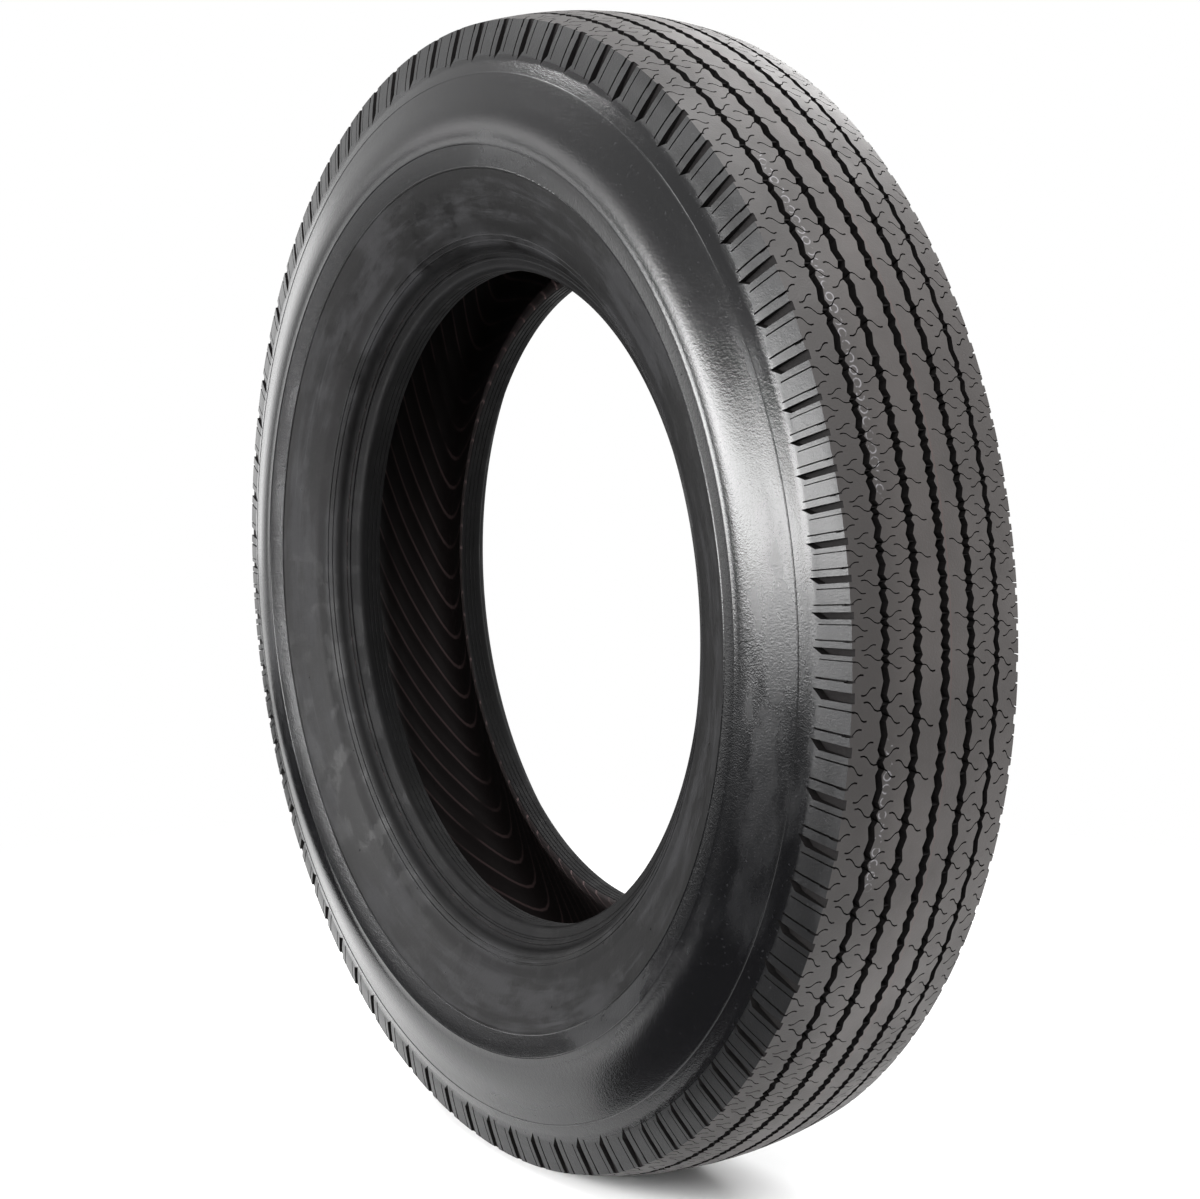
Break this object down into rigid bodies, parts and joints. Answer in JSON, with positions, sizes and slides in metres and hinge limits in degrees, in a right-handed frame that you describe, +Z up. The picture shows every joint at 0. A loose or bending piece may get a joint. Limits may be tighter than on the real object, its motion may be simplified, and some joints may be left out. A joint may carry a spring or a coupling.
{
  "type": "car tyre",
  "caption": "Narrow tube-type car tyre with zigzag grooved ribbed tread, serrated shoulders and smooth ringed sidewalls.",
  "frame": {"origin": "centre of the wheel: the middle of the bead seats' axis, in the middle plane of the tread", "axes": "+Y along the axle, with the sidewall that the picture shows on the -Y side; +Z up, the tyre standing on its tread as on a car; X along the way it rolls"},
  "size_m": [0.72, 0.1562, 0.72],
  "materials": {
    "tyre": "satin"
  },
  "bodies": {
    "root": {"tyre": "tyre"}
  },
  "joints": []
}
